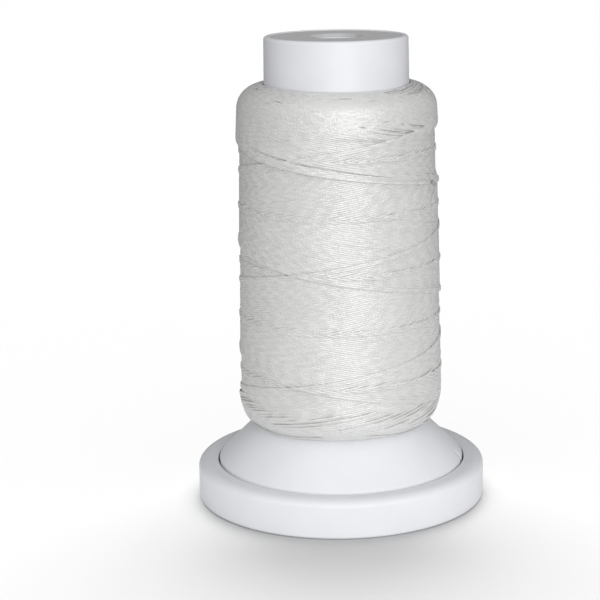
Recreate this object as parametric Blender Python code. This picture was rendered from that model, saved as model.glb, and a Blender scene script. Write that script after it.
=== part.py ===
"""A mini king spool of sewing thread: a moulded barrel wound with thread, on a base that snaps open.

The spool stands on z = 0 with its axis on Z, and all lengths are in metres. Each turned piece is a
closed outline of (radius, height) points, spun about Z. The base's sprung fingers stand in the
barrel's socket, so the barrel lifts off the base until their barbs meet the socket's rib.
"""

import math

import bmesh
import bpy
from mathutils import Matrix, Vector

# Driving dimensions: the whole spool
SPOOL_HEIGHT = 0.0800  # floor to the top of the head
SEAT_GAP = 0.0003  # between two pieces that touch
SEGMENTS = 72  # facets round each turned piece
ARC_STEPS = 3  # facets along each small rounding
SHARP_EDGE = math.radians(32)  # a sharper edge than this is shaded as an edge

# The barrel's head and tube
HEAD_RADIUS = 0.01215
HEAD_ROUNDING = 0.0006
HEAD_RIM_FLAT = 0.0005  # level ring between the rounding and the label's recess
BARREL_WALL = 0.0014
BARREL_DRAFT = math.radians(0.7)  # the barrel widens downwards, to leave its mould
TOP_WALL = 0.0016
RECESS_DEPTH = 0.0006
SPINDLE_RADIUS = 0.0040
SPINDLE_LEAD_IN = 0.0004
COLLAR_WALL = 0.0012
COLLAR_LENGTH = 0.0078

# The cone under the winding, and its skirt
CONE_SLOPE = math.radians(45)  # above the horizontal
CONE_WALL = 0.0013
SKIRT_PROUD = 0.0003  # the skirt's shoulder above the base's rim
SKIRT_ROUNDING = 0.0006
NICK_WIDTH = 0.0018
NICK_RISE = 0.0012  # above the skirt's shoulder
NICK_ANGLE = math.radians(-11)

# The snap between the barrel's socket and the base's fingers
SNAP_RIB_DEPTH = 0.00065
SNAP_RIB_HEIGHT = 0.0018
SNAP_RIB_CHAMFER = 0.0006
SNAP_RIB_SETBACK = 0.0009  # above the socket's lower edge
SNAP_TRAVEL = 0.0025  # how far the barrel lifts off the base
SNAP_SPARE = 0.0004  # left between barb and rib when fully open
FINGER_CLEARANCE = 0.00025
FINGER_WALL = 0.0010
FINGER_COUNT = 4
FINGER_SLOT = 0.0020
BARB_HEIGHT = 0.0013
BARB_CHAMFER = 0.0007

# The base
BASE_RADIUS = 0.0250
BASE_HEIGHT = 0.0066
BASE_WALL = 0.0013
FOOT_ROUNDING = 0.0005
SHOULDER_WIDTH = 0.0018
SHOULDER_HEIGHT = 0.0012
RIM_WIDTH = 0.0034  # from the rim's bore, round the skirt, to the outside
RIM_LIP_ROUNDING = 0.00025
RIM_LIP_DROP = 0.00015  # the rim's top falls this much towards the skirt
RIM_WALL = 0.0012  # round the rim's bore, and over its hollow
FLOOR_HEIGHT = 0.0034
FLOOR_WALL = 0.0014
HUB_FOOT_CLEARANCE = 0.0004  # hub above the surface that the spool stands on
WEB_COUNT = 8
WEB_THICKNESS = 0.0012
WEB_FOOT_CLEARANCE = 0.0006

# The wound thread
PACKAGE_TOP = 0.07205
PACKAGE_TOP_RADIUS = 0.0168
PACKAGE_BOTTOM_RADIUS = 0.01745
PACKAGE_FOOT_RADIUS = 0.01495  # where the winding leaves the cone
PACKAGE_SHOULDER_HEIGHT = 0.00385
PACKAGE_FOOT_ROUNDING = 0.00675
PACKAGE_ARC_STEPS = 7

# The paper label
LABEL_THICKNESS = 0.0002
LABEL_HOLE_MARGIN = 0.0007
LABEL_EDGE_MARGIN = 0.0003

# Worked out from the above
FLOOR_UNDERSIDE = FLOOR_HEIGHT - FLOOR_WALL
RIM_BORE_RADIUS = BASE_RADIUS - RIM_WIDTH
SKIRT_RADIUS = RIM_BORE_RADIUS - SEAT_GAP
SKIRT_SHOULDER = BASE_HEIGHT + SKIRT_PROUD
SOCKET_BOTTOM = FLOOR_HEIGHT + SEAT_GAP
RECESS_RADIUS = HEAD_RADIUS - HEAD_ROUNDING - HEAD_RIM_FLAT
RECESS_FLOOR = SPOOL_HEIGHT - RECESS_DEPTH
TOP_WALL_UNDERSIDE = RECESS_FLOOR - TOP_WALL
CUT_MARGIN = 0.001  # how far a cutter runs past what it cuts
BITE = 0.0003  # how far a joined shape reaches into its neighbour


def barrel_radius(height):
    """The barrel's outer radius, which grows downwards from the head."""
    return HEAD_RADIUS + (SPOOL_HEIGHT - HEAD_ROUNDING - height) * math.tan(BARREL_DRAFT)


def cone_height(radius, offset=0.0):
    """The height of the cone's outer face, or of a face parallel to it at this distance above."""
    return SKIRT_SHOULDER + (SKIRT_RADIUS - radius) * math.tan(CONE_SLOPE) + offset / math.cos(CONE_SLOPE)


def cone_meets_barrel(offset=0.0):
    """(radius, height) where the cone's face and the barrel's cross, both moved out by the offset."""
    slope, draft = math.tan(CONE_SLOPE), math.tan(BARREL_DRAFT)
    radius_on_floor = barrel_radius(0.0) + offset
    height = cone_height(radius_on_floor, offset) / (1 - slope * draft)
    return radius_on_floor - height * draft, height


SOCKET_OUTER_RADIUS = cone_meets_barrel()[0]
SOCKET_RADIUS = SOCKET_OUTER_RADIUS - BARREL_WALL
SNAP_RIB_RADIUS = SOCKET_RADIUS - SNAP_RIB_DEPTH
SNAP_RIB_BOTTOM = SOCKET_BOTTOM + SNAP_RIB_SETBACK
SNAP_RIB_TOP = SNAP_RIB_BOTTOM + SNAP_RIB_HEIGHT
HUB_RADIUS = SNAP_RIB_RADIUS - FINGER_CLEARANCE
HUB_BORE_RADIUS = HUB_RADIUS - FINGER_WALL
BARB_RADIUS = SOCKET_RADIUS - SEAT_GAP
BARB_UNDERSIDE = SNAP_RIB_TOP + SNAP_TRAVEL + SNAP_SPARE
HUB_TOP = BARB_UNDERSIDE + BARB_HEIGHT


def arc(centre, radii, start, end, steps):
    """Points of an ellipse's arc from one angle to another, in degrees, both ends included."""
    angles = [math.radians(start + (end - start) * step / steps) for step in range(steps + 1)]
    return [
        (centre[0] + radii[0] * math.cos(angle), centre[1] + radii[1] * math.sin(angle))
        for angle in angles
    ]


def plastic(name, colour, roughness):
    material = bpy.data.materials.new(name)
    material.use_nodes = True
    shader = material.node_tree.nodes["Principled BSDF"]
    shader.inputs["Base Color"].default_value = (*colour, 1.0)
    shader.inputs["Roughness"].default_value = roughness
    shader.inputs["Metallic"].default_value = 0.0
    return material


def add_object(name, bm, material=None):
    mesh = bpy.data.meshes.new(name)
    bm.to_mesh(mesh)
    bm.free()
    made = bpy.data.objects.new(name, mesh)
    bpy.context.scene.collection.objects.link(made)
    if material:
        mesh.materials.append(material)
    return made


def turned(name, outline, material):
    """A solid of revolution: the closed outline of (radius, height) points, spun about Z."""
    bm = bmesh.new()
    points = [bm.verts.new((radius, 0.0, height)) for radius, height in outline]
    edges = [bm.edges.new((points[i - 1], points[i])) for i in range(len(points))]
    bmesh.ops.spin(
        bm,
        geom=points + edges,
        cent=(0.0, 0.0, 0.0),
        axis=(0.0, 0.0, 1.0),
        angle=2 * math.pi,
        steps=SEGMENTS,
        use_merge=True,
    )
    bmesh.ops.recalc_face_normals(bm, faces=bm.faces)
    made = add_object(name, bm, material)
    made.data.shade_smooth()
    made.data.set_sharp_from_angle(angle=SHARP_EDGE)
    return made


def radial_blocks(name, count, first_angle, radii, width, heights):
    """Helper mesh of equal blocks set round the axis, each along its own radius."""
    bm = bmesh.new()
    size = Vector((radii[1] - radii[0], width, heights[1] - heights[0]))
    centre = Vector((sum(radii) / 2, 0.0, sum(heights) / 2))
    for step in range(count):
        turn = Matrix.Rotation(first_angle + 2 * math.pi * step / count, 4, "Z")
        place = turn @ Matrix.Translation(centre) @ Matrix.Diagonal(size.to_4d())
        bmesh.ops.create_cube(bm, size=1.0, matrix=place)
    helper = add_object(name, bm)
    helper.hide_render = True
    helper.display_type = "WIRE"
    return helper


def combine(target, helper, operation):
    boolean = target.modifiers.new(helper.name, "BOOLEAN")
    boolean.operation = operation
    boolean.solver = "EXACT"
    boolean.object = helper


def barrel_outline():
    """Head, tube, cone and socket: down the outside, then up the inside."""
    head = [(SPINDLE_RADIUS, RECESS_FLOOR - SPINDLE_LEAD_IN)]
    head += [(SPINDLE_RADIUS + SPINDLE_LEAD_IN, RECESS_FLOOR), (RECESS_RADIUS, RECESS_FLOOR)]
    head += [(RECESS_RADIUS, SPOOL_HEIGHT)]
    head += arc(
        (HEAD_RADIUS - HEAD_ROUNDING, SPOOL_HEIGHT - HEAD_ROUNDING),
        (HEAD_ROUNDING, HEAD_ROUNDING),
        90,
        0,
        ARC_STEPS,
    )
    cone_top = cone_meets_barrel()
    turn = math.pi / 2 - CONE_SLOPE  # from the cone's face to the skirt's
    skirt = arc(
        (SKIRT_RADIUS - SKIRT_ROUNDING, SKIRT_SHOULDER - SKIRT_ROUNDING * math.tan(turn / 2)),
        (SKIRT_ROUNDING, SKIRT_ROUNDING),
        math.degrees(turn),
        0,
        ARC_STEPS,
    )
    skirt += [
        (SKIRT_RADIUS, SOCKET_BOTTOM),
        (SKIRT_RADIUS - CONE_WALL, SOCKET_BOTTOM),
        (SKIRT_RADIUS - CONE_WALL, cone_height(SKIRT_RADIUS - CONE_WALL, -CONE_WALL)),
    ]
    socket = [
        (SOCKET_OUTER_RADIUS, cone_height(SOCKET_OUTER_RADIUS, -CONE_WALL)),
        (SOCKET_OUTER_RADIUS, SOCKET_BOTTOM),
        (SOCKET_RADIUS, SOCKET_BOTTOM),
        (SOCKET_RADIUS, SNAP_RIB_BOTTOM),
        (SNAP_RIB_RADIUS, SNAP_RIB_BOTTOM + SNAP_RIB_CHAMFER),
        (SNAP_RIB_RADIUS, SNAP_RIB_TOP - SNAP_RIB_CHAMFER),
        (SOCKET_RADIUS, SNAP_RIB_TOP),
        (SOCKET_RADIUS, cone_top[1]),
    ]
    collar_radius = SPINDLE_RADIUS + COLLAR_WALL
    inside = [
        (barrel_radius(TOP_WALL_UNDERSIDE) - BARREL_WALL, TOP_WALL_UNDERSIDE),
        (collar_radius, TOP_WALL_UNDERSIDE),
        (collar_radius, TOP_WALL_UNDERSIDE - COLLAR_LENGTH),
        (SPINDLE_RADIUS, TOP_WALL_UNDERSIDE - COLLAR_LENGTH),
    ]
    return head + [cone_top] + skirt + socket + inside


def make_barrel(material):
    barrel = turned("barrel", barrel_outline(), material)
    nick = radial_blocks(
        "skirt_nick_cutter",
        1,
        NICK_ANGLE,
        (SKIRT_RADIUS - CONE_WALL - CUT_MARGIN, SKIRT_RADIUS + CUT_MARGIN),
        NICK_WIDTH,
        (SOCKET_BOTTOM - CUT_MARGIN, SKIRT_SHOULDER + NICK_RISE),
    )
    combine(barrel, nick, "DIFFERENCE")
    return barrel


def base_outline():
    """Foot, rim, floor and hub: up the outside, in over the top, then out along the underside."""
    foot = [(BASE_RADIUS - BASE_WALL, 0.0)]
    foot += arc(
        (BASE_RADIUS - FOOT_ROUNDING, FOOT_ROUNDING), (FOOT_ROUNDING, FOOT_ROUNDING), -90, 0, ARC_STEPS
    )
    rim = arc(
        (BASE_RADIUS - SHOULDER_WIDTH, BASE_HEIGHT - SHOULDER_HEIGHT),
        (SHOULDER_WIDTH, SHOULDER_HEIGHT),
        0,
        90,
        2 * ARC_STEPS,
    )
    rim += arc(
        (RIM_BORE_RADIUS + RIM_LIP_ROUNDING, BASE_HEIGHT - RIM_LIP_DROP - RIM_LIP_ROUNDING),
        (RIM_LIP_ROUNDING, RIM_LIP_ROUNDING),
        90,
        180,
        ARC_STEPS,
    )
    hub = [
        (RIM_BORE_RADIUS, FLOOR_HEIGHT),
        (HUB_RADIUS, FLOOR_HEIGHT),
        (HUB_RADIUS, BARB_UNDERSIDE),
        (BARB_RADIUS, BARB_UNDERSIDE),
        (BARB_RADIUS, HUB_TOP - BARB_CHAMFER),
        (BARB_RADIUS - BARB_CHAMFER, HUB_TOP),
        (HUB_BORE_RADIUS, HUB_TOP),
        (HUB_BORE_RADIUS, HUB_FOOT_CLEARANCE),
        (HUB_RADIUS, HUB_FOOT_CLEARANCE),
    ]
    rim_hollow_roof = BASE_HEIGHT - SHOULDER_HEIGHT
    underside = [
        (HUB_RADIUS, FLOOR_UNDERSIDE),
        (RIM_BORE_RADIUS + RIM_WALL, FLOOR_UNDERSIDE),
        (RIM_BORE_RADIUS + RIM_WALL, rim_hollow_roof),
        (BASE_RADIUS - BASE_WALL, rim_hollow_roof),
    ]
    return foot + rim + hub + underside


def make_snap_base(material):
    base = turned("snap_base", base_outline(), material)
    webs = radial_blocks(
        "base_webs",
        WEB_COUNT,
        math.pi / WEB_COUNT,
        (HUB_RADIUS - BITE, BASE_RADIUS - BASE_WALL + BITE),
        WEB_THICKNESS,
        (WEB_FOOT_CLEARANCE, FLOOR_UNDERSIDE + BITE),
    )
    slots = radial_blocks(
        "finger_slot_cutters",
        FINGER_COUNT,
        0.0,
        (HUB_BORE_RADIUS - CUT_MARGIN, BARB_RADIUS + CUT_MARGIN),
        FINGER_SLOT,
        (SNAP_RIB_BOTTOM, HUB_TOP + CUT_MARGIN),
    )
    combine(base, webs, "UNION")
    combine(base, slots, "DIFFERENCE")
    return base


def package_outline():
    """The winding: over its shoulder, down its side, in along the cone and up the barrel."""
    top_inner = (barrel_radius(PACKAGE_TOP) + SEAT_GAP, PACKAGE_TOP)
    shoulder = arc(
        (top_inner[0], PACKAGE_TOP - PACKAGE_SHOULDER_HEIGHT),
        (PACKAGE_TOP_RADIUS - top_inner[0], PACKAGE_SHOULDER_HEIGHT),
        90,
        0,
        PACKAGE_ARC_STEPS,
    )
    foot_height = cone_height(PACKAGE_FOOT_RADIUS, SEAT_GAP)
    foot = arc(
        (PACKAGE_FOOT_RADIUS, foot_height + PACKAGE_FOOT_ROUNDING),
        (PACKAGE_BOTTOM_RADIUS - PACKAGE_FOOT_RADIUS, PACKAGE_FOOT_ROUNDING),
        0,
        -90,
        PACKAGE_ARC_STEPS,
    )
    return shoulder + foot + [cone_meets_barrel(SEAT_GAP)]


def label_outline():
    inner = SPINDLE_RADIUS + LABEL_HOLE_MARGIN
    outer = RECESS_RADIUS - LABEL_EDGE_MARGIN
    low = RECESS_FLOOR + SEAT_GAP
    high = low + LABEL_THICKNESS
    return [(inner, high), (outer, high), (outer, low), (inner, low)]


def main():
    for old in list(bpy.data.objects):
        bpy.data.objects.remove(old, do_unlink=True)
    white = plastic("white_plastic", (0.86, 0.87, 0.90), 0.42)
    thread = plastic("nylon_thread", (0.80, 0.80, 0.79), 0.48)
    paper = plastic("label_paper", (0.74, 0.74, 0.75), 0.70)
    make_snap_base(white)
    lifting = [
        make_barrel(white),
        turned("thread_package", package_outline(), thread),
        turned("top_label", label_outline(), paper),
    ]
    lift = bpy.data.objects.new("spool_lift", None)
    bpy.context.scene.collection.objects.link(lift)
    for piece in lifting:
        piece.parent = lift


main()
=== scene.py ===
import math

import bmesh
import bpy
import numpy as np
from mathutils import Matrix, Vector


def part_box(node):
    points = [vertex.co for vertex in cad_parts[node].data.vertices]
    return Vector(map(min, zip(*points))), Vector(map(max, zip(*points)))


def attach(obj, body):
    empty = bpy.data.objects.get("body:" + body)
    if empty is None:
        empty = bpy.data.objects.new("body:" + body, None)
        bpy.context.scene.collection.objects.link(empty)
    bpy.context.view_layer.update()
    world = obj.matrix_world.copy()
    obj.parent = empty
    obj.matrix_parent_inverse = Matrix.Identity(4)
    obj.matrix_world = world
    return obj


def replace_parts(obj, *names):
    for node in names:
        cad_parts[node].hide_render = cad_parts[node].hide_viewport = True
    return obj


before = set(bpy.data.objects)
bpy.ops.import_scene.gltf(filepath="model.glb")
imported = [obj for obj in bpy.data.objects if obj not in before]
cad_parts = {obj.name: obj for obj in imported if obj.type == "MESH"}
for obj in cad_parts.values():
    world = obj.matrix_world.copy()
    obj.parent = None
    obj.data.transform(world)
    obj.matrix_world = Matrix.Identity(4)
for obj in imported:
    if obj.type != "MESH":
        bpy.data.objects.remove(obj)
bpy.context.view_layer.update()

# Lengths are in metres. The spool stands on z = 0 with its axis on Z, and its front is towards -Y.
# Angles round the winding are in degrees: they start at the front and grow towards +X.

# ---- Sizes taken from the frame ----
head_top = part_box("barrel")[1].z
socket_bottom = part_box("barrel")[0].z
skirt_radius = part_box("barrel")[1].x
base_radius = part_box("snap_base")[1].x
finger_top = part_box("snap_base")[1].z
winding_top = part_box("thread_package")[1].z
label_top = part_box("top_label")[1].z
label_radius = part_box("top_label")[1].x

# ---- Sizes of the mouldings and the label ----
MM = 0.001
SEAT_GAP = 0.3 * MM  # round a piece that is seated in another
CONTACT_GAP = 0.03 * MM  # between surfaces that lie on each other
HEAD_RADIUS = 12.15 * MM
HEAD_ROUNDING = 0.6 * MM
HEAD_RIM_FLAT = 0.5 * MM
BARREL_WALL = 1.4 * MM
BARREL_DRAFT = math.radians(0.7)
BARREL_FILLET = 0.4 * MM
TOP_WALL = 1.6 * MM
RECESS_DEPTH = 0.6 * MM
RECESS_FILLET = 0.25 * MM
SPINDLE_RADIUS = 4.0 * MM
COLLAR_WALL = 1.2 * MM
COLLAR_LENGTH = 7.8 * MM
CONE_SLOPE = math.radians(45)
CONE_WALL = 1.3 * MM
CONE_FILLET = 0.3 * MM
SKIRT_SHOULDER = 6.9 * MM
SKIRT_ROUNDING = 0.2 * MM
NICK_WIDTH = 1.8 * MM
NICK_RISE = 1.2 * MM
NICK_ANGLE = math.radians(-11)
SNAP_RIB_DEPTH = 0.65 * MM
SNAP_RIB_HEIGHT = 1.8 * MM
SNAP_RIB_CHAMFER = 0.6 * MM
SNAP_RIB_SETBACK = 0.9 * MM
FINGER_CLEARANCE = 0.25 * MM
FINGER_WALL = 1.0 * MM
FINGER_COUNT = 4
FINGER_SLOT = 2.0 * MM
BARB_HEIGHT = 1.3 * MM
BARB_CHAMFER = 0.7 * MM
BASE_HEIGHT = 6.6 * MM
BASE_WALL = 1.3 * MM
BASE_FILLET = 0.3 * MM
FOOT_ROUNDING = 0.5 * MM
SHOULDER_WIDTH = 1.8 * MM
SHOULDER_HEIGHT = 1.2 * MM
SHOULDER_STEPS = 16
RIM_LIP_ROUNDING = 0.08 * MM
RIM_LIP_DROP = 0.05 * MM
RIM_WALL = 1.2 * MM
FLOOR_HEIGHT = 3.4 * MM
FLOOR_WALL = 1.4 * MM
HUB_FOOT_CLEARANCE = 0.4 * MM
WEB_COUNT = 8
WEB_THICKNESS = 1.2 * MM
WEB_FOOT_CLEARANCE = 0.6 * MM
LABEL_HOLE_MARGIN = 0.5 * MM  # between the spindle hole and the label's own
LABEL_EDGE = 0.05 * MM
EASED_EDGE = 0.12 * MM  # the small radius that a moulded edge keeps
EDGE_STEPS = 4
FLATTEST_CORNER = math.radians(89)  # half the angle of a corner that is too flat to round
LONGEST_REACH = 0.45  # share of a side that the rounding of its corner may take up
TURN_STEPS = 192
SHARP_ANGLE = math.radians(35)  # edges past this angle stay sharp
CUT_MARGIN = 1.0 * MM  # how far a cutter reaches past what it cuts
BITE = 0.3 * MM  # how far the webs reach into the walls that they join

# ---- Sizes of the winding ----
PACKAGE_TOP_RADIUS = 16.8 * MM
PACKAGE_BOTTOM_RADIUS = 17.45 * MM
PACKAGE_FOOT_RADIUS = 14.95 * MM
PACKAGE_SHOULDER_HEIGHT = 3.85 * MM
PACKAGE_FOOT_ROUNDING = 6.75 * MM
SHOULDER_ARC_STEPS = 90
FOOT_ARC_STEPS = 60
TURN_LENGTH = 2 * math.pi * PACKAGE_BOTTOM_RADIUS  # of thread, in one turn

STRAND_HALF_WIDTH = 0.23 * MM  # the thread lies flattened
STRAND_HALF_THICKNESS = 0.09 * MM
STRAND_FOOTPRINT = 0.16 * MM  # half the width that holds the next strand up
STRAND_SIDES = 8
PLIES = 3
PLY_LENGTH = 3.0 * MM  # along the thread, for one turn of the plies
POINT_EVERY = 4.3  # degrees
TURNS_PER_PIECE = 60
LENGTH_OFFSET = 1.37  # turns of thread between the patterns of one length and the next
END_TAPER = 0.02  # share of the thread's thickness that is left at a tapered end

# ---- How the thread is laid ----
SEED = 11
LAY_PITCH = 19.0 * MM  # rise of the thread in one turn
LAY_STEP = 0.35 * MM  # each pass lies this far beside the one before
TURNS_PER_TRAVERSE = 3
PASSES = 56  # down and up again
PERIOD = 2 * TURNS_PER_TRAVERSE - LAY_STEP / LAY_PITCH  # turns in a pass
FOOT_VERTEX = 13.8 * MM  # where the lines of the last pass would meet at the foot
HEAD_VERTEX = FOOT_VERTEX + LAY_PITCH * PERIOD / 2  # and at the head
LAST_FOOT_ANGLE = 156
LAST_HEAD_ANGLE = (LAST_FOOT_ANGLE + 180 * PERIOD) % 360
START_ANGLE = round(LAST_FOOT_ANGLE - 360 * (PASSES - 0.5) * PERIOD) % 360
TOP_EASINGS = (0.3, 2.0)  # how far short of its vertex a pass turns back at the head, in millimetres
FOOT_EASINGS = (0.9, 1.5)  # and at the foot
LAST_RUN_DROP = 14.4 * MM  # from the last upper reversal down to the thread's end
LAST_RUN_ANGLE = 272
LAST_RUN_START = 26.63 * MM  # its first pitch, which eases off towards the end
JOIN = 8  # degrees that the passes run on under the last run's start
BAND_SHARES = (0.42, 0.62, 0.82)  # lines of thread between the passes above and the last run
BAND_EASING = 0.6 * MM
HEAD_LOOPS = 170  # reversals of older layers, on the winding's shoulder
HEAD_LOOPS_LOWEST = 69.6 * MM
HEAD_LOOPS_MARGIN = 0.25 * MM  # from the highest of them to the winding's end
HEAD_LOOP_REACHES = (95, 130)  # degrees to each side
FOOT_LOOPS = 60  # reversals of older layers, on the rounded foot
FOOT_LOOPS_HIGHEST = 17.5 * MM
FOOT_LOOPS_MARGIN = 0.35 * MM
FOOT_LOOP_REACHES = (45, 75)
LOOP_EASINGS = (0.5, 1.6)  # in millimetres
WANDER_WAVES = 9
WANDER_RATES = (0.6, 4.2)  # waves in a turn
PATH_WANDER = 0.022 * MM
BAND_WANDER = 0.03 * MM

# ---- How the winding's level is kept ----
CELL = 0.04 * MM  # along the winding's outline; round the winding, a cell is one degree
SIDE_PROUD = 0.35 * MM  # how far thread may stand proud of the guide on the winding's side
PRESSING = 0.15  # share of the rest that still stands proud
PRESSED_FOOT = 12 * MM  # from this far up, SIDE_PROUD falls to nothing at the foot's edge,
PRESSED_HEAD = 14 * MM  # and from this far down towards the head's edge,
FLUSH_HEAD = 6 * MM  # where it is nothing over this last length
FORM_START = -0.45 * MM  # the form under the last layers, against the guide, before it is adjusted
FORM_LOWEST = -0.7 * MM
FORM_TRIES = 5
FORM_BLUR = 41  # cells
DOWN_STEP = 0.2 * MM  # how far the passes laid last stand over those beside them
UP_STEP = 0.05 * MM
UPPER_SWELL = 0.05 * MM  # how far the part above the last run stands out all round,
UPPER_LEAN = 0.4 * MM  # and how far it leans to the left
LOWER_SWELL = -0.05 * MM
LOWER_LEAN = -0.15 * MM
EDGE_BLEND = 0.9 * MM
EVEN_FOOT = 8 * MM  # swell and lean fade out over this length at the foot,
EVEN_HEAD = 4 * MM  # and above this far under the winding's top

# ---- The sleeve under the visible strands ----
CORE_EVERY = 8  # cells between its points
CORE_TURN_STEPS = 180
CORE_BLUR_ANGLE = 9  # degrees
CORE_BLUR_CELLS = 21
CORE_DEPTH = 2 * STRAND_HALF_THICKNESS
CORE_DEPTH_AT_ENDS = 1.1 * STRAND_HALF_THICKNESS
CORE_FOOT_BLEND = (4 * MM, 7 * MM)  # from the foot's edge, where one depth turns into the other
CORE_HEAD_BLEND = (9 * MM, 6 * MM)  # and from the head's edge
CORE_INNER_MARGIN = 0.5 * MM  # a point this far inside the outline belongs to the inner wall

# ---- The thread's frayed end, in millimetres: out, up and along the thread ----
FIBRE_SEED = 5
FIBRES = 11
FIBRE_POINTS = 9
FIBRE_RADIUS = 0.04 * MM
FIBRE_REACH = ((0.1, -0.6, -0.2), (0.6, 0.6, 1.5))  # the least and the most
FIBRE_BOW = ((0.1, -0.8), (0.6, 0.8))  # out and up
HANGING_FIBRE = (0.2, -2.3, -0.3, 1.2, 0.7)  # the reach and the bow of the one that hangs


# ================= Shapes =================
def arc(centre, radii, start, end, steps):
    """Points of an ellipse's arc from one angle to another, in degrees, both ends included."""
    angles = [math.radians(start + (end - start) * step / steps) for step in range(steps + 1)]
    return [(centre[0] + radii[0] * math.cos(a), centre[1] + radii[1] * math.sin(a)) for a in angles]


def rounded(corners):
    """A closed outline of (radius, height) points from corners of (radius, height, rounding)."""
    outline = []
    for number, (radius, height, rounding) in enumerate(corners):
        here = Vector((radius, height))
        before = Vector(corners[number - 1][:2]) - here
        after = Vector(corners[(number + 1) % len(corners)][:2]) - here
        half_angle = before.angle(after) / 2
        if rounding <= 0 or half_angle > FLATTEST_CORNER:
            outline.append(here)
            continue
        longest = (LONGEST_REACH * before.length, LONGEST_REACH * after.length)
        reach = min(rounding / math.tan(half_angle), *longest)
        size = reach * math.tan(half_angle)
        inward = (before.normalized() + after.normalized()).normalized()
        middle = here + inward * (size / math.sin(half_angle))
        first = here + before.normalized() * reach - middle
        last = here + after.normalized() * reach - middle
        for step in range(EDGE_STEPS + 1):
            part = step / EDGE_STEPS
            spoke = (first * (1 - part) + last * part).normalized() * size
            outline.append(middle + spoke)
    return outline


def add_object(name, bm, material):
    mesh = bpy.data.meshes.new(name)
    bm.to_mesh(mesh)
    bm.free()
    made = bpy.data.objects.new(name, mesh)
    bpy.context.scene.collection.objects.link(made)
    if material:
        mesh.materials.append(material)
    return made


def turned(name, outline, material, steps=TURN_STEPS):
    """A closed outline of (radius, height) points, spun about Z."""
    bm = bmesh.new()
    points = [bm.verts.new((radius, 0.0, height)) for radius, height in outline]
    edges = [bm.edges.new((points[i - 1], points[i])) for i in range(len(points))]
    bmesh.ops.spin(
        bm,
        geom=points + edges,
        cent=(0.0, 0.0, 0.0),
        axis=(0.0, 0.0, 1.0),
        angle=2 * math.pi,
        steps=steps,
        use_merge=True,
    )
    bmesh.ops.recalc_face_normals(bm, faces=bm.faces)
    return add_object(name, bm, material)


def radial_blocks(name, count, first_angle, radii, width, heights):
    """Equal blocks set round the axis, each along its own radius."""
    bm = bmesh.new()
    size = Vector((radii[1] - radii[0], width, heights[1] - heights[0]))
    centre = Vector((sum(radii) / 2, 0.0, sum(heights) / 2))
    for number in range(count):
        turn = Matrix.Rotation(first_angle + 2 * math.pi * number / count, 4, "Z")
        place = turn @ Matrix.Translation(centre) @ Matrix.Diagonal(size.to_4d())
        bmesh.ops.create_cube(bm, size=1.0, matrix=place)
    return add_object(name, bm, None)


def apply_modifiers(made):
    """Makes the object's mesh the one that its modifiers give."""
    bpy.context.view_layer.update()
    evaluated = made.evaluated_get(bpy.context.evaluated_depsgraph_get())
    mesh = bpy.data.meshes.new_from_object(evaluated)
    made.modifiers.clear()
    made.data = mesh


def combine(target, helper, operation):
    """Joins the helper to the target, or cuts it out of the target, and removes the helper."""
    boolean = target.modifiers.new(helper.name, "BOOLEAN")
    boolean.operation = operation
    boolean.solver = "EXACT"
    boolean.object = helper
    apply_modifiers(target)
    bpy.data.objects.remove(helper)


def finish_moulding(made):
    """Smooth shading that keeps flat faces flat beside their eased edges."""
    made.data.shade_smooth()
    made.data.set_sharp_from_angle(angle=SHARP_ANGLE)
    weighted = made.modifiers.new("even_shading", "WEIGHTED_NORMAL")
    weighted.keep_sharp = True


# ================= Materials =================
def new_group(name, inputs, outputs):
    """A node group with these sockets, and its own input and output nodes."""
    group = bpy.data.node_groups.new(name, "ShaderNodeTree")
    for label, kind, value in inputs:
        socket = group.interface.new_socket(name=label, in_out="INPUT", socket_type=kind)
        socket.default_value = value
    for label, kind in outputs:
        group.interface.new_socket(name=label, in_out="OUTPUT", socket_type=kind)
    return group, group.nodes.new("NodeGroupInput"), group.nodes.new("NodeGroupOutput")


def math_node(tree, operation, first, second=None):
    """A Math node on two sockets or numbers."""
    node = tree.nodes.new("ShaderNodeMath")
    node.operation = operation
    for socket, value in zip(node.inputs, (first, second)):
        if value is None:
            continue
        if isinstance(value, bpy.types.NodeSocket):
            tree.links.new(value, socket)
        else:
            socket.default_value = value
    return node.outputs[0]


def remap(tree, value, low, high, new_low, new_high):
    """The value, with low to high stretched to new_low to new_high and held there outside."""
    node = tree.nodes.new("ShaderNodeMapRange")
    tree.links.new(value, node.inputs["Value"])
    ends = zip(("From Min", "From Max", "To Min", "To Max"), (low, high, new_low, new_high))
    for socket, number in ends:
        node.inputs[socket].default_value = number
    return node.outputs["Result"]


def make_mottle_group():
    """Slow and fine unevenness of a surface: a mask of each, about zero, from Object coordinates."""
    inputs = [
        ("Vector", "NodeSocketVector", (0, 0, 0)),
        ("Cloud Scale", "NodeSocketFloat", 90.0),
        ("Grain Scale", "NodeSocketFloat", 1500.0),
    ]
    outputs = [("Cloud", "NodeSocketFloat"), ("Grain", "NodeSocketFloat")]
    group, given, result = new_group("surface_mottle", inputs, outputs)
    for label, detail in (("Cloud", 3.0), ("Grain", 2.0)):
        noise = group.nodes.new("ShaderNodeTexNoise")
        noise.inputs["Detail"].default_value = detail
        group.links.new(given.outputs["Vector"], noise.inputs["Vector"])
        group.links.new(given.outputs[label + " Scale"], noise.inputs["Scale"])
        centred = math_node(group, "SUBTRACT", noise.outputs["Fac"], 0.5)
        group.links.new(centred, result.inputs[label])
    return group


mottle_group = make_mottle_group()


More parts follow.
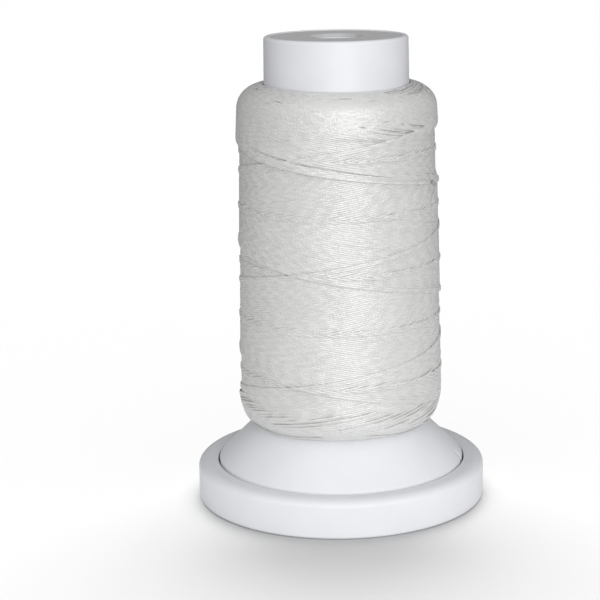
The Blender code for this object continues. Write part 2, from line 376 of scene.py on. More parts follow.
def new_material(name, roughness, cloud_scale, grain_scale):
    """A material, its node tree and shader, and its mottle, which has these scales."""
    material = bpy.data.materials.new(name)
    material.use_nodes = True
    tree = material.node_tree
    shader = tree.nodes["Principled BSDF"]
    shader.inputs["Roughness"].default_value = roughness
    place = tree.nodes.new("ShaderNodeTexCoord")
    mottle = tree.nodes.new("ShaderNodeGroup")
    mottle.node_tree = mottle_group
    mottle.inputs["Cloud Scale"].default_value = cloud_scale
    mottle.inputs["Grain Scale"].default_value = grain_scale
    tree.links.new(place.outputs["Object"], mottle.inputs["Vector"])
    return material, tree, shader, mottle


def tint(tree, shader, light, dark, mask, low, high):
    """The base colour runs from light to dark as the mask goes from low to high."""
    mix = tree.nodes.new("ShaderNodeMix")
    mix.data_type = "RGBA"
    mix.inputs["A"].default_value = (*light, 1)
    mix.inputs["B"].default_value = (*dark, 1)
    tree.links.new(remap(tree, mask, low, high, 0, 1), mix.inputs["Factor"])
    tree.links.new(mix.outputs["Result"], shader.inputs["Base Color"])


def bump(tree, shader, height, distance, strength, inwards=False):
    """Relief from a height above the surface, or with inwards from a depth under it."""
    node = tree.nodes.new("ShaderNodeBump")
    node.invert = inwards
    node.inputs["Distance"].default_value = distance
    node.inputs["Strength"].default_value = strength
    tree.links.new(height, node.inputs["Height"])
    tree.links.new(node.outputs["Normal"], shader.inputs["Normal"])


def make_plastic():
    """Moulded white polypropylene: satin, faintly cloudy, with the mould's fine grain."""
    material, tree, shader, mottle = new_material(
        "moulded_plastic", roughness=0.42, cloud_scale=120, grain_scale=2600
    )
    cloud = mottle.outputs["Cloud"]
    light, dark = (0.865, 0.875, 0.905), (0.825, 0.838, 0.872)
    tint(tree, shader, light, dark, mask=cloud, low=-0.2, high=0.2)
    rough = remap(tree, cloud, low=-0.25, high=0.25, new_low=0.36, new_high=0.50)
    tree.links.new(rough, shader.inputs["Roughness"])
    bump(tree, shader, mottle.outputs["Grain"], distance=0.02 * MM, strength=0.5)
    return material


def make_thread():
    """Glossy white continuous-filament thread: its plies wind round each strand and catch the light.

    Each turn has its own tone and its own start of the plies, so that no pattern repeats down the winding.
    """
    material, tree, shader, mottle = new_material(
        "filament_thread", roughness=0.45, cloud_scale=220, grain_scale=3000
    )
    shader.inputs["IOR"].default_value = 2.0
    shader.inputs["Specular IOR Level"].default_value = 1.0
    place = tree.nodes.new("ShaderNodeTexCoord")
    wrap = tree.nodes.new("ShaderNodeSeparateXYZ")
    tree.links.new(place.outputs["UV"], wrap.inputs["Vector"])
    turn = math_node(tree, "FLOOR", math_node(tree, "DIVIDE", wrap.outputs["Y"], TURN_LENGTH))
    chance = tree.nodes.new("ShaderNodeTexWhiteNoise")
    chance.noise_dimensions = "1D"
    tree.links.new(turn, chance.inputs["W"])
    turn_tone = math_node(tree, "MULTIPLY", chance.outputs["Value"], 0.3)
    tone = math_node(tree, "ADD", mottle.outputs["Cloud"], turn_tone)
    light, dark = (0.73, 0.73, 0.72), (0.66, 0.66, 0.65)
    tint(tree, shader, light, dark, mask=tone, low=-0.15, high=0.45)
    along = math_node(tree, "MULTIPLY", wrap.outputs["Y"], 2 * math.pi / PLY_LENGTH)
    around = math_node(tree, "MULTIPLY", wrap.outputs["X"], PLIES * 2 * math.pi)
    start = math_node(tree, "MULTIPLY", chance.outputs["Value"], 2 * math.pi)
    ply = math_node(tree, "SINE", math_node(tree, "ADD", math_node(tree, "ADD", along, around), start))
    depth = math_node(tree, "ADD", ply, math_node(tree, "MULTIPLY", mottle.outputs["Grain"], 2.0))
    bump(tree, shader, depth, distance=0.045 * MM, strength=1.0, inwards=True)
    return material


def make_paper():
    """Plain uncoated label paper with a trace of fibre."""
    material, tree, shader, mottle = new_material(
        "label_paper", roughness=0.72, cloud_scale=700, grain_scale=5200
    )
    light, dark = (0.66, 0.66, 0.67), (0.60, 0.60, 0.61)
    tint(tree, shader, light, dark, mask=mottle.outputs["Cloud"], low=-0.2, high=0.2)
    bump(tree, shader, mottle.outputs["Grain"], distance=0.02 * MM, strength=0.6)
    return material


plastic = make_plastic()
thread = make_thread()
paper = make_paper()


# ================= Mouldings =================
def barrel_radius(height):
    """The radius of the head's and the tube's outer face, which widens a little downwards."""
    return HEAD_RADIUS + (head_top - HEAD_ROUNDING - height) * math.tan(BARREL_DRAFT)


def cone_height(radius, offset=0.0):
    """The height of the cone's outer face, or of a face parallel to it at this distance above."""
    return SKIRT_SHOULDER + (skirt_radius - radius) * math.tan(CONE_SLOPE) + offset / math.cos(CONE_SLOPE)


def cone_meets_barrel():
    slope, draft = math.tan(CONE_SLOPE), math.tan(BARREL_DRAFT)
    height = cone_height(barrel_radius(0.0)) / (1 - slope * draft)
    return barrel_radius(height), height


cone_top_radius, cone_top_height = cone_meets_barrel()
recess_radius = HEAD_RADIUS - HEAD_ROUNDING - HEAD_RIM_FLAT
recess_floor = head_top - RECESS_DEPTH
socket_radius = cone_top_radius - BARREL_WALL
rib_radius = socket_radius - SNAP_RIB_DEPTH
rib_bottom = socket_bottom + SNAP_RIB_SETBACK
rib_top = rib_bottom + SNAP_RIB_HEIGHT
hub_radius = rib_radius - FINGER_CLEARANCE
barb_radius = socket_radius - SEAT_GAP
barb_underside = finger_top - BARB_HEIGHT
rim_bore_radius = skirt_radius + SEAT_GAP
floor_underside = FLOOR_HEIGHT - FLOOR_WALL


def make_barrel():
    """Head, tube, cone, skirt and socket: down the outside, then up the inside."""
    skirt_inside = skirt_radius - CONE_WALL
    under_top = recess_floor - TOP_WALL
    collar_radius = SPINDLE_RADIUS + COLLAR_WALL
    collar_bottom = under_top - COLLAR_LENGTH
    corners = [
        (SPINDLE_RADIUS, recess_floor, BARREL_FILLET),
        (recess_radius, recess_floor, RECESS_FILLET),
        (recess_radius, head_top, EASED_EDGE),
        (HEAD_RADIUS, head_top, HEAD_ROUNDING),
        (cone_top_radius, cone_top_height, CONE_FILLET),
        (skirt_radius, SKIRT_SHOULDER, SKIRT_ROUNDING),
        (skirt_radius, socket_bottom, EASED_EDGE),
        (skirt_inside, socket_bottom, EASED_EDGE),
        (skirt_inside, cone_height(skirt_inside, -CONE_WALL), BARREL_FILLET),
        (cone_top_radius, cone_height(cone_top_radius, -CONE_WALL), BARREL_FILLET),
        (cone_top_radius, socket_bottom, EASED_EDGE),
        (socket_radius, socket_bottom, EASED_EDGE),
        (socket_radius, rib_bottom, EASED_EDGE),
        (rib_radius, rib_bottom + SNAP_RIB_CHAMFER, EASED_EDGE),
        (rib_radius, rib_top - SNAP_RIB_CHAMFER, EASED_EDGE),
        (socket_radius, rib_top, EASED_EDGE),
        (socket_radius, cone_top_height, BARREL_FILLET),
        (barrel_radius(under_top) - BARREL_WALL, under_top, BARREL_FILLET),
        (collar_radius, under_top, BARREL_FILLET),
        (collar_radius, collar_bottom, EASED_EDGE),
        (SPINDLE_RADIUS, collar_bottom, EASED_EDGE),
    ]
    barrel = turned("barrel_moulding", rounded(corners), plastic)
    nick = radial_blocks(
        "skirt_nick_cutter",
        count=1,
        first_angle=NICK_ANGLE,
        radii=(skirt_inside - CUT_MARGIN, skirt_radius + CUT_MARGIN),
        width=NICK_WIDTH,
        heights=(socket_bottom - CUT_MARGIN, SKIRT_SHOULDER + NICK_RISE),
    )
    combine(barrel, nick, "DIFFERENCE")
    finish_moulding(barrel)
    return barrel


def base_outline():
    """The base's section: up the rim, over its shoulder, across the floor and round the fingers."""
    hub_bore = hub_radius - FINGER_WALL
    inner_wall = base_radius - BASE_WALL
    shoulder_start = BASE_HEIGHT - SHOULDER_HEIGHT
    centre = (base_radius - SHOULDER_WIDTH, shoulder_start)
    shoulder = arc(centre, (SHOULDER_WIDTH, SHOULDER_HEIGHT), 0, 90, SHOULDER_STEPS)
    corners = [(inner_wall, 0.0, EASED_EDGE), (base_radius, 0.0, FOOT_ROUNDING)]
    corners += [(radius, height, 0) for radius, height in shoulder]
    corners += [
        (rim_bore_radius, BASE_HEIGHT - RIM_LIP_DROP, RIM_LIP_ROUNDING),
        (rim_bore_radius, FLOOR_HEIGHT, BASE_FILLET),
        (hub_radius, FLOOR_HEIGHT, BASE_FILLET),
        (hub_radius, barb_underside, EASED_EDGE),
        (barb_radius, barb_underside, EASED_EDGE),
        (barb_radius, finger_top - BARB_CHAMFER, EASED_EDGE),
        (barb_radius - BARB_CHAMFER, finger_top, EASED_EDGE),
        (hub_bore, finger_top, EASED_EDGE),
        (hub_bore, HUB_FOOT_CLEARANCE, EASED_EDGE),
        (hub_radius, HUB_FOOT_CLEARANCE, EASED_EDGE),
        (hub_radius, floor_underside, BASE_FILLET),
        (rim_bore_radius + RIM_WALL, floor_underside, EASED_EDGE),
        (rim_bore_radius + RIM_WALL, shoulder_start, BASE_FILLET),
        (inner_wall, shoulder_start, BASE_FILLET),
    ]
    return rounded(corners)


def make_snap_base():
    """Rim, floor, hub and fingers in one turned shape, with webs added and the fingers' slots cut."""
    base = turned("base_moulding", base_outline(), plastic)
    webs = radial_blocks(
        "base_webs",
        count=WEB_COUNT,
        first_angle=math.pi / WEB_COUNT,
        radii=(hub_radius - BITE, base_radius - BASE_WALL + BITE),
        width=WEB_THICKNESS,
        heights=(WEB_FOOT_CLEARANCE, floor_underside + BITE),
    )
    slots = radial_blocks(
        "finger_slot_cutters",
        count=FINGER_COUNT,
        first_angle=0.0,
        radii=(hub_radius - FINGER_WALL - CUT_MARGIN, barb_radius + CUT_MARGIN),
        width=FINGER_SLOT,
        heights=(rib_bottom, finger_top + CUT_MARGIN),
    )
    combine(base, webs, "UNION")
    combine(base, slots, "DIFFERENCE")
    finish_moulding(base)
    return base


def make_label():
    """A thin ring of paper on the floor of the head's recess."""
    hole = SPINDLE_RADIUS + LABEL_HOLE_MARGIN
    underside = recess_floor + CONTACT_GAP
    corners = [
        (hole, label_top, LABEL_EDGE),
        (label_radius, label_top, LABEL_EDGE),
        (label_radius, underside, 0),
        (hole, underside, 0),
    ]
    label = turned("label_disc", rounded(corners), paper)
    finish_moulding(label)
    return label


# ================= Winding =================
class Guide:
    """The winding's outer form as a curve: radius, height and outward normal at a distance along it.

    The distance equals the height along the straight side, and runs on round the shoulder and the foot.
    """

    def __init__(self):
        shoulder_low = winding_top - PACKAGE_SHOULDER_HEIGHT
        top_radius = barrel_radius(winding_top) + CONTACT_GAP
        shoulder_radii = (PACKAGE_TOP_RADIUS - top_radius, PACKAGE_SHOULDER_HEIGHT)
        shoulder = arc((top_radius, shoulder_low), shoulder_radii, 0, 90, SHOULDER_ARC_STEPS)
        foot = cone_height(PACKAGE_FOOT_RADIUS, SEAT_GAP)
        foot_radii = (PACKAGE_BOTTOM_RADIUS - PACKAGE_FOOT_RADIUS, PACKAGE_FOOT_ROUNDING)
        foot_centre = (PACKAGE_FOOT_RADIUS, foot + PACKAGE_FOOT_ROUNDING)
        foot_arc = arc(foot_centre, foot_radii, -90, 0, FOOT_ARC_STEPS)
        points = np.array(foot_arc + shoulder)
        steps = np.hypot(*np.diff(points, axis=0).T)
        self.distance = np.concatenate([[0], np.cumsum(steps)])
        self.distance += shoulder_low - self.distance[len(foot_arc)]
        self.radius, self.height = points.T
        slope = np.gradient(points, axis=0)
        slope /= np.hypot(*slope.T)[:, None]
        self.normal_radius, self.normal_height = slope[:, 1], -slope[:, 0]
        self.low, self.high = self.distance[0], self.distance[-1]
        self.cells = np.arange(self.low, self.high, CELL)

    def at(self, distance):
        columns = (self.radius, self.height, self.normal_radius, self.normal_height)
        return [np.interp(distance, self.distance, column) for column in columns]


class Winding:
    """Lays thread on the winding, strand by strand.

    The level is how high the thread stands over the guide's form, for each degree and each cell.
    """

    CHUNK = 97  # degrees laid at a time
    AHEAD = 30  # degrees looked ahead for what holds the taut thread up

    def __init__(self, cells, level):
        self.cells = cells
        self.level = level
        reach = int(STRAND_FOOTPRINT / CELL) + 1
        self.window = np.arange(-reach, reach + 1)
        self.bend = PACKAGE_TOP_RADIUS * math.radians(1) ** 2
        foot, head = cells[0], cells[-1]
        self.press_ends = (foot, foot + PRESSED_FOOT, head - PRESSED_HEAD, head - FLUSH_HEAD)

    def footprint(self, columns, distance):
        """The cells under each point of the thread, and how far its skin stands off its middle there."""
        middle = np.rint((distance - self.cells[0]) / CELL).astype(int)
        rows = np.clip(middle[:, None] + self.window, 0, len(self.cells) - 1)
        off = (self.cells[rows] - distance[:, None]) / STRAND_FOOTPRINT
        skin = STRAND_HALF_THICKNESS * np.sqrt(np.clip(1 - off**2, 0, None))
        return columns[:, None], rows, np.where(np.abs(off) < 1, skin, -1.0)

    def taut(self, held):
        """The height of a taut thread over the heights that hold it up: their hull, on a round body."""
        angle = np.arange(len(held))
        curved = held - self.bend * angle**2 / 2
        hull = []
        for x, y in zip(angle, curved):
            while len(hull) > 1:
                (x1, y1), (x2, y2) = hull[-2:]
                if (y2 - y1) * (x - x1) > (y - y1) * (x2 - x1):
                    break
                hull.pop()
            hull.append((x, y))
        xs, ys = zip(*hull)
        return np.interp(angle, xs, ys) + self.bend * angle**2 / 2

    def pressed(self, height, distance):
        """Thread that would stand too proud is pressed in among the thread under it."""
        proud = np.interp(distance, self.press_ends, (0, SIDE_PROUD, SIDE_PROUD, 0))
        return np.where(height > proud, proud + PRESSING * (height - proud), height)

    def lay(self, first_angle, distance):
        """Lays one length of thread, one point a degree, and returns its middle's height at each."""
        columns = (first_angle + np.arange(len(distance))) % 360
        height = np.zeros(len(distance))
        for start in range(0, len(distance), self.CHUNK):
            end = min(start + self.CHUNK, len(distance))
            back = max(0, start - 1)
            span = slice(back, min(end + self.AHEAD, len(distance)))
            column, row, skin = self.footprint(columns[span], distance[span])
            held = (self.level[column, row] + skin).max(axis=1)
            if start:
                held[0] = height[back]
            taut = self.taut(held)[start - back:end - back]
            height[start:end] = self.pressed(taut, distance[start:end])
            column, row, skin = self.footprint(columns[start:end], distance[start:end])
            top = np.where(skin >= 0, height[start:end, None] + skin, -1.0)
            np.maximum.at(self.level, (np.broadcast_to(column, row.shape), row), top)
        return height


def eased(distance, easing):
    """A distance from a sharp turn, once the turn is rounded by this much."""
    return distance + easing * np.exp(-distance / easing)


def wander(rng, count, size):
    """A slow random drift of about this size, for a point each degree."""
    angle = np.radians(np.arange(count))
    drift = np.zeros(count)
    for rate in rng.uniform(*WANDER_RATES, WANDER_WAVES):
        drift += np.sin(rate * angle + rng.uniform(0, 2 * math.pi))
    return drift * size / math.sqrt(WANDER_WAVES)


def last_run_fall(run):
    """How far the last run has come down after this many degrees; its pitch eases off to the end."""
    slack = (LAST_RUN_START * LAST_RUN_ANGLE / 360 - LAST_RUN_DROP) / LAST_RUN_ANGLE**2
    return LAST_RUN_START * run / 360 - slack * run**2


def main_path(rng):
    """Where along the guide the thread lies, for a point each degree, from the first pass to its end."""
    count = int(360 * PERIOD * PASSES)
    turns = np.arange(count) / 360
    nearest_top = np.rint(turns / PERIOD).astype(int)
    nearest_foot = np.floor(turns / PERIOD).astype(int)
    from_top = LAY_PITCH * np.abs(turns - PERIOD * nearest_top)
    from_foot = LAY_PITCH * np.abs(turns - PERIOD * (nearest_foot + 0.5))
    top_easing = rng.uniform(*TOP_EASINGS, PASSES + 1) * MM
    foot_easing = rng.uniform(*FOOT_EASINGS, PASSES) * MM
    distance = HEAD_VERTEX - eased(from_top, top_easing[nearest_top])
    distance += eased(from_foot, foot_easing[nearest_foot]) - from_foot
    last = HEAD_VERTEX - eased(last_run_fall(np.arange(LAST_RUN_ANGLE)), top_easing[-1])
    whole = np.concatenate([distance, last])
    return whole + wander(rng, len(whole), PATH_WANDER)


def band_lines(rng):
    """Lines of thread side by side between the last run and the edge of the passes above it."""
    run = np.arange(LAST_RUN_ANGLE)
    edge = LAY_PITCH * run / 360 - LAY_STEP
    for share in BAND_SHARES:
        fall = edge + share * (last_run_fall(run) - edge)
        line = HEAD_VERTEX - eased(np.maximum(fall, 0), BAND_EASING)
        yield line + wander(rng, len(run), BAND_WANDER)


def reversals(rng, count, lowest, highest, side, reaches):
    """Short lengths of older layers that turn back: at their highest point for side 1, else their lowest."""
    for apex in rng.uniform(lowest, highest, count):
        reach = int(rng.uniform(*reaches))
        run = np.abs(np.arange(-reach, reach + 1)) * LAY_PITCH / 360
        easing = rng.uniform(*LOOP_EASINGS) * MM
        yield int(rng.uniform(0, 360)), apex + side * (easing - eased(run, easing))


def unevenness(cells):
    """How far the winding stands out of its turned form, which the last run divides into two parts."""
    angle = np.arange(360)[:, None]
    to_left = np.cos(np.radians(angle - 270))
    edge = HEAD_VERTEX - last_run_fall((angle - LAST_HEAD_ANGLE) % 360)
    above = np.clip((cells - edge) / EDGE_BLEND, 0, 1)
    ends = (cells[0], cells[0] + EVEN_FOOT, winding_top - EVEN_HEAD, cells[-1])
    fade = np.interp(cells, ends, (0, 1, 1, 0))
    upper = UPPER_SWELL + UPPER_LEAN * to_left
    lower = LOWER_SWELL + LOWER_LEAN * to_left
    return fade * (lower + (upper - lower) * above)


def old_layers(cells, form):
    """The level before the first pass: the form, stepped along the lines that the passes follow."""
    angle = np.arange(360)[:, None]
    down_line = HEAD_VERTEX - LAY_PITCH * ((angle - START_ANGLE) % 360) / 360
    foot_angle = START_ANGLE + 360 * PERIOD / 2
    up_line = FOOT_VERTEX + LAY_PITCH * ((angle - foot_angle) % 360) / 360
    down_step = DOWN_STEP * (0.5 - ((cells - down_line) / LAY_PITCH) % 1)
    up_step = UP_STEP * (0.5 - ((up_line - cells) / LAY_PITCH) % 1)
    return form + down_step + up_step + unevenness(cells)


def wind(guide, form):
    """Winds the whole package on a form: the lengths of thread, and the winding that they make."""
    rng = np.random.default_rng(SEED)
    winding = Winding(guide.cells, old_layers(guide.cells, form))
    lengths = []
    head_end = guide.high - HEAD_LOOPS_MARGIN
    foot_end = guide.low + FOOT_LOOPS_MARGIN
    loops = [*reversals(rng, HEAD_LOOPS, HEAD_LOOPS_LOWEST, head_end, 1, HEAD_LOOP_REACHES)]
    loops += reversals(rng, FOOT_LOOPS, foot_end, FOOT_LOOPS_HIGHEST, -1, FOOT_LOOP_REACHES)
    for first_angle, distance in loops:
        lengths.append((first_angle, distance, winding.lay(first_angle, distance)))
    path = main_path(rng)
    last_run = len(path) - LAST_RUN_ANGLE
    passes = path[:last_run + JOIN]
    lengths.append((START_ANGLE, passes, winding.lay(START_ANGLE, passes)))
    head_angle = START_ANGLE + last_run
    for line in [*band_lines(rng), path[last_run:]]:
        lengths.append((head_angle, line, winding.lay(head_angle, line)))
    return lengths, winding


def smooth(values, width):
    """Values in a row, each averaged with those beside it over this width, an odd number."""
    kernel = np.hanning(width)
    padded = np.pad(values, width // 2, mode="edge")
    return np.convolve(padded, kernel / kernel.sum(), mode="valid")[:len(values)]


def wind_to_size(guide):
    """Adjusts the form under the last layers until the winding comes out at the guide's own size."""
    form = np.full(len(guide.cells), FORM_START)
    for _ in range(FORM_TRIES):
        lengths, winding = wind(guide, form)
        over = smooth((winding.level - unevenness(guide.cells)).mean(axis=0), FORM_BLUR)
        form = np.maximum(form - over, FORM_LOWEST)
    return lengths, winding


def strand_section():
    """The flattened cross-section that is swept along the thread."""
    curve = bpy.data.curves.new("strand_section", "CURVE")
    curve.dimensions = "2D"
    spline = curve.splines.new("POLY")
    spline.points.add(STRAND_SIDES - 1)
    for number, point in enumerate(spline.points):
        angle = 2 * math.pi * number / STRAND_SIDES
        across, along = STRAND_HALF_THICKNESS * math.cos(angle), STRAND_HALF_WIDTH * math.sin(angle)
        point.co = (across, along, 0, 1)
    spline.use_cyclic_u = True
    section = bpy.data.objects.new("strand_section", curve)
    bpy.context.scene.collection.objects.link(section)
    return section


def curve_to_mesh(name, curve):
    """A mesh object of the thread's material, from a curve that has a thickness."""
    swept = bpy.data.objects.new(name, curve)
    bpy.context.scene.collection.objects.link(swept)
    bpy.context.view_layer.update()
    mesh = bpy.data.meshes.new_from_object(swept.evaluated_get(bpy.context.evaluated_depsgraph_get()))
    bpy.data.objects.remove(swept)
    mesh.materials.clear()
    mesh.materials.append(thread)
    mesh.shade_smooth()
    made = bpy.data.objects.new(name, mesh)
    bpy.context.scene.collection.objects.link(made)
    return made


def set_length_along(mesh, laid):
    """Puts the length of thread laid so far, in metres, into the second coordinate of the UV map."""
    corner = np.empty(len(mesh.loops), dtype=np.int32)
    mesh.loops.foreach_get("vertex_index", corner)
    layer = mesh.uv_layers[0].data
    uv = np.empty(2 * len(corner), dtype=np.float32)
    layer.foreach_get("uv", uv)
    uv[1::2] = laid[corner]
    layer.foreach_set("uv", uv)


def close_ends(mesh):
    """Closes the strands at their ends, with a sharp edge round each end, and turns all faces outwards."""
    bm = bmesh.new()
    bm.from_mesh(mesh)
    ends = [edge for edge in bm.edges if edge.is_boundary]
    for edge in ends:
        edge.smooth = False
    bmesh.ops.holes_fill(bm, edges=ends, sides=STRAND_SIDES)
    bmesh.ops.recalc_face_normals(bm, faces=bm.faces)
    bm.to_mesh(mesh)
    bm.free()


def sweep(name, guide, lengths, ends_taper=True):
    """One piece of the winding: these lengths of thread as solid strands, which may taper at their ends."""
    section = strand_section()
    curve = bpy.data.curves.new(name, "CURVE")
    curve.dimensions = "3D"
    curve.twist_mode = "Z_UP"
    curve.bevel_mode = "OBJECT"
    curve.bevel_object = section
    laid = []
    for number, (first_angle, distance, height) in enumerate(lengths):
        count = 2 + int(len(distance) / POINT_EVERY)
        pick = np.unique(np.rint(np.linspace(0, len(distance) - 1, count)).astype(int))
        angle = np.radians(first_angle + pick)
        radius, rise, normal_radius, normal_height = guide.at(distance[pick])
        radius = radius + normal_radius * height[pick]
        rise = rise + normal_height * height[pick]
        spline = curve.splines.new("POLY")
        spline.points.add(len(pick) - 1)
        points = (radius * np.sin(angle), -radius * np.cos(angle), rise, np.ones(len(pick)))
        spline.points.foreach_set("co", np.stack(points, axis=1).ravel())
        spline.points.foreach_set("tilt", -np.arctan2(normal_height, normal_radius))
        if ends_taper:
            spline.points[0].radius = END_TAPER
            spline.points[-1].radius = END_TAPER
        laid.append((angle / (2 * math.pi) + LENGTH_OFFSET * number) * TURN_LENGTH)
    made = curve_to_mesh(name, curve)
    bpy.data.objects.remove(section)
    set_length_along(made.data, np.repeat(np.concatenate(laid), STRAND_SIDES))
    close_ends(made.data)
    return made


def make_end_fibres(guide, length):
    """The frayed end of the thread: fine loose fibres that part from its last point, and one that hangs."""
    first_angle, distance, height = length
    angle = math.radians(first_angle + len(distance) - 1)
    radius, rise, _, _ = guide.at(distance[-1])
    radius += height[-1]
    root = np.array((radius * math.sin(angle), -radius * math.cos(angle), rise))
    outward = np.array((math.sin(angle), -math.cos(angle), 0))
    along = np.array((math.cos(angle), math.sin(angle), 0))
    up = np.array((0, 0, 1))
    rng = np.random.default_rng(FIBRE_SEED)
    curve = bpy.data.curves.new("thread_end_fibres", "CURVE")
    curve.dimensions = "3D"
    curve.bevel_depth = FIBRE_RADIUS
    curve.bevel_resolution = 1
    curve.use_fill_caps = True
    share = np.linspace(0, 1, FIBRE_POINTS)[:, None]
    for number in range(FIBRES):
        out, rise_by, on = rng.uniform(*FIBRE_REACH) * MM
        bow_out, bow_up = rng.uniform(*FIBRE_BOW) * MM
        if number == 0:
            out, rise_by, on, bow_out, bow_up = np.array(HANGING_FIBRE) * MM
        line = root + share * (outward * out + up * rise_by + along * on)
        line = line + share * (1 - share) * (outward * bow_out + up * bow_up) * 2
        spline = curve.splines.new("POLY")
        spline.points.add(len(line) - 1)
        spline.points.foreach_set("co", np.hstack([line, np.ones((len(line), 1))]).ravel())
    return curve_to_mesh("thread_end_fibres", curve)


def split_length(length, points):
    """A long length of thread as shorter ones, each starting at the last one's end."""
    first_angle, distance, height = length
    parts = []
    for start in range(0, len(distance) - 1, points):
        end = min(start + points + 1, len(distance))
        parts.append((first_angle + start, distance[start:end], height[start:end]))
    return parts


def blurred(level):
    """The level with the ridges of its strands smoothed out, round the winding and along it."""
    kernel = np.hanning(CORE_BLUR_ANGLE)
    three_turns = np.tile(level, (3, 1))
    around = np.apply_along_axis(np.convolve, 0, three_turns, kernel / kernel.sum(), mode="same")
    return np.apply_along_axis(smooth, 1, around[360:720], CORE_BLUR_CELLS)


def make_core(guide, level):
    """The older layers under the visible ones, as one closed sleeve a little under this level."""
    cells = guide.cells[::CORE_EVERY]
    foot_ends = [cells[0] + length for length in CORE_FOOT_BLEND]
    head_ends = [cells[-1] - length for length in CORE_HEAD_BLEND]
    depths = (CORE_DEPTH_AT_ENDS, CORE_DEPTH, CORE_DEPTH, CORE_DEPTH_AT_ENDS)
    stand = blurred(level)[:, ::CORE_EVERY] - np.interp(cells, foot_ends + head_ends, depths)
    radius, height, normal_radius, normal_height = guide.at(cells)
    outline = [Vector(point) for point in zip(radius, height)]
    inner = barrel_radius(cone_top_height) + 2 * SEAT_GAP
    outline.append(Vector((inner, cone_height(inner, SEAT_GAP))))
    core = turned("thread_core", outline, thread, CORE_TURN_STEPS)
    for vertex in core.data.vertices:
        x, y, z = vertex.co
        row = int(np.abs(height - z).argmin())
        if math.hypot(x, y) < radius[row] - CORE_INNER_MARGIN:
            continue
        angle = round(math.degrees(math.atan2(x, -y))) % 360
        out = radius[row] + normal_radius[row] * stand[angle, row]
        up = height[row] + normal_height[row] * stand[angle, row]
        out = max(out, barrel_radius(up) + CONTACT_GAP)
        up = max(up, cone_height(out, CONTACT_GAP))
        vertex.co = (out * math.sin(math.radians(angle)), -out * math.cos(math.radians(angle)), up)
    core.data.shade_smooth()
    core.data.set_sharp_from_angle(angle=SHARP_ANGLE)
    return core


def make_winding():
    """Every piece of the winding: loops of older layers, the passes, the last band, its end and the core."""
    guide = Guide()
    lengths, winding = wind_to_size(guide)
    band_count = len(BAND_SHARES) + 1
    loops, passes, band = lengths[:-band_count - 1], lengths[-band_count - 1], lengths[-band_count:]
    pieces = [sweep("thread_head_loops", guide, loops[:HEAD_LOOPS])]
    pieces.append(sweep("thread_foot_loops", guide, loops[HEAD_LOOPS:]))
    for number, part in enumerate(split_length(passes, 360 * TURNS_PER_PIECE), 1):
        pieces.append(sweep(f"thread_winding_{number}", guide, [part], ends_taper=False))
    pieces.append(sweep("thread_last_band", guide, band))
    pieces.append(make_end_fibres(guide, band[-1]))
    pieces.append(make_core(guide, winding.level))
    return pieces


# ================= Setting =================
CAMERA_PITCH = math.radians(13.095)
CAMERA_ROLL = math.radians(-0.704)
CAMERA_DISTANCE = 0.30936
CAMERA_AIM = Vector((0.0, 0.0, 0.0361))
CLIP_NEAR, CLIP_FAR = 0.01, 50.0
PICTURE_SIDE = 600.0  # pixels
FOCAL_PIXELS = 1790.0
AXIS_PIXEL = (338.96, 290.8)  # where the camera's own axis meets the picture
SENSOR_WIDTH = 36.0  # millimetres
WHITE = (1, 1, 1, 1)
WORLD_LIGHT_FRONT = 0.76
WORLD_LIGHT_BACK = 0.15
WORLD_SEEN = 1.0
FLOOR_RADIUS = 8.0
FLOOR_SIDES = 96
FLOOR_AS_SEEN = (0.75, 0.75, 0.75)
FLOOR_AS_LIGHT_NEAR = 0.58  # the grey that the spool's light reflects from
FLOOR_AS_LIGHT_FAR = 0.15
FLOOR_NEAR = 0.08  # from the spool's axis
FLOOR_FAR = 0.22


def make_camera():
    data = bpy.data.cameras.new("camera")
    data.sensor_width = SENSOR_WIDTH
    data.lens = SENSOR_WIDTH * FOCAL_PIXELS / PICTURE_SIDE
    data.shift_x = (PICTURE_SIDE / 2 - AXIS_PIXEL[0]) / PICTURE_SIDE
    data.shift_y = (AXIS_PIXEL[1] - PICTURE_SIDE / 2) / PICTURE_SIDE
    data.clip_start = CLIP_NEAR
    data.clip_end = CLIP_FAR
    camera = bpy.data.objects.new("camera", data)
    bpy.context.scene.collection.objects.link(camera)
    turn = Matrix.Rotation(math.pi / 2 - CAMERA_PITCH, 3, "X") @ Matrix.Rotation(CAMERA_ROLL, 3, "Z")
    camera.rotation_euler = turn.to_euler()
    ahead = Vector((0.0, math.cos(CAMERA_PITCH), -math.sin(CAMERA_PITCH)))
    camera.location = CAMERA_AIM - CAMERA_DISTANCE * ahead
    bpy.context.scene.camera = camera


def add_lamp(data, azimuth, elevation, distance):
    """A lamp aimed at the spool's middle. Azimuth 0 is the front, and grows towards +X, in degrees."""
    azimuth, elevation = math.radians(azimuth), math.radians(elevation)
    away = Vector((
        math.sin(azimuth) * math.cos(elevation),
        -math.cos(azimuth) * math.cos(elevation),
        math.sin(elevation),
    ))
    lamp = bpy.data.objects.new(data.name, data)
    bpy.context.scene.collection.objects.link(lamp)
    lamp.location = CAMERA_AIM + away * distance
    lamp.rotation_euler = away.to_track_quat("Z", "Y").to_euler()
    return lamp


def link_light(lamp, target, state):
    """Makes the lamp light this object alone (INCLUDE), or all but this object (EXCLUDE)."""
    receivers = bpy.data.collections.new(lamp.name + "_receivers")
    receivers.objects.link(target)
    receivers.collection_objects[0].light_linking.link_state = state
    lamp.light_linking.receiver_collection = receivers


def add_spool_lamp(name, floor, azimuth, elevation, distance, size, power):
    """A soft round lamp that lights everything but the floor."""
    data = bpy.data.lights.new(name, "AREA")
    data.shape = "DISK"
    data.size = size
    data.energy = power
    lamp = add_lamp(data, azimuth, elevation, distance)
    lamp.visible_camera = False
    link_light(lamp, floor, "EXCLUDE")


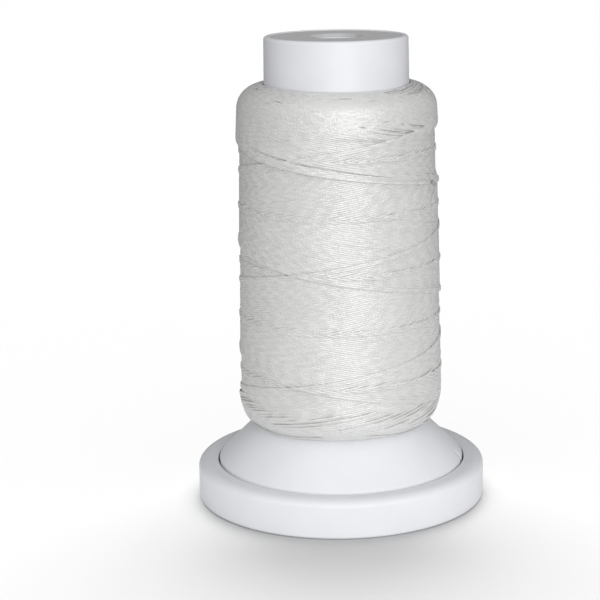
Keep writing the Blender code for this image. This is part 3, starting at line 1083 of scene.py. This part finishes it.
def add_floor_lamp(name, floor, azimuth, elevation, angle, strength):
    """A soft lamp for the floor alone, from behind: it casts the spool's shadow towards the camera."""
    data = bpy.data.lights.new(name, "SUN")
    data.angle = math.radians(angle)
    data.energy = strength
    lamp = add_lamp(data, azimuth, elevation, distance=1.0)
    link_light(lamp, floor, "INCLUDE")


def make_world():
    """White to the camera. To the spool it is a soft surround, brighter in front than behind."""
    world = bpy.data.worlds.new("soft_surround")
    bpy.context.scene.world = world
    world.use_nodes = True
    tree = world.node_tree
    around = tree.nodes["Background"]
    around.inputs["Color"].default_value = WHITE
    place = tree.nodes.new("ShaderNodeTexCoord")
    axes = tree.nodes.new("ShaderNodeSeparateXYZ")
    tree.links.new(place.outputs["Generated"], axes.inputs["Vector"])
    light = remap(tree, axes.outputs["Y"], -1, 1, WORLD_LIGHT_FRONT, WORLD_LIGHT_BACK)
    tree.links.new(light, around.inputs["Strength"])
    seen = tree.nodes.new("ShaderNodeBackground")
    seen.inputs["Color"].default_value = WHITE
    seen.inputs["Strength"].default_value = WORLD_SEEN
    path = tree.nodes.new("ShaderNodeLightPath")
    mix = tree.nodes.new("ShaderNodeMixShader")
    tree.links.new(path.outputs["Is Camera Ray"], mix.inputs["Fac"])
    tree.links.new(around.outputs["Background"], mix.inputs[1])
    tree.links.new(seen.outputs["Background"], mix.inputs[2])
    tree.links.new(mix.outputs["Shader"], tree.nodes["World Output"].inputs["Surface"])


def make_floor():
    """A pale floor to the camera. The light that it gives the spool fades with distance."""
    bm = bmesh.new()
    bmesh.ops.create_circle(bm, cap_ends=True, radius=FLOOR_RADIUS, segments=FLOOR_SIDES)
    material = bpy.data.materials.new("pale_floor")
    material.use_nodes = True
    tree = material.node_tree
    shader = tree.nodes["Principled BSDF"]
    shader.inputs["Roughness"].default_value = 0.9
    shader.inputs["Specular IOR Level"].default_value = 0.1
    path = tree.nodes.new("ShaderNodeLightPath")
    place = tree.nodes.new("ShaderNodeTexCoord")
    away = tree.nodes.new("ShaderNodeVectorMath")
    away.operation = "LENGTH"
    tree.links.new(place.outputs["Object"], away.inputs[0])
    as_light = tree.nodes.new("ShaderNodeCombineColor")
    distance = away.outputs["Value"]
    level = remap(tree, distance, FLOOR_NEAR, FLOOR_FAR, FLOOR_AS_LIGHT_NEAR, FLOOR_AS_LIGHT_FAR)
    for channel in ("Red", "Green", "Blue"):
        tree.links.new(level, as_light.inputs[channel])
    mix = tree.nodes.new("ShaderNodeMix")
    mix.data_type = "RGBA"
    tree.links.new(as_light.outputs["Color"], mix.inputs["A"])
    mix.inputs["B"].default_value = (*FLOOR_AS_SEEN, 1)
    tree.links.new(path.outputs["Is Camera Ray"], mix.inputs["Factor"])
    tree.links.new(mix.outputs["Result"], shader.inputs["Base Color"])
    floor = add_object("floor", bm, material)
    return floor


def main():
    bpy.context.scene.view_settings.view_transform = "Standard"
    make_camera()
    make_world()
    floor = make_floor()
    add_spool_lamp("key_lamp", floor, azimuth=12, elevation=7, distance=0.6, size=0.4, power=1.98)
    add_spool_lamp("top_lamp", floor, azimuth=0, elevation=68, distance=0.6, size=0.5, power=0.3)
    for azimuth in (162, 198):
        add_floor_lamp("floor_lamp", floor, azimuth, elevation=55, angle=40, strength=1.68)
    barrel = make_barrel()
    base = make_snap_base()
    label = make_label()
    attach(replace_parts(barrel, "barrel"), "spool")
    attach(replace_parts(base, "snap_base"), "base")
    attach(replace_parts(label, "top_label"), "spool")
    for piece in make_winding():
        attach(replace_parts(piece, "thread_package"), "spool")


main()
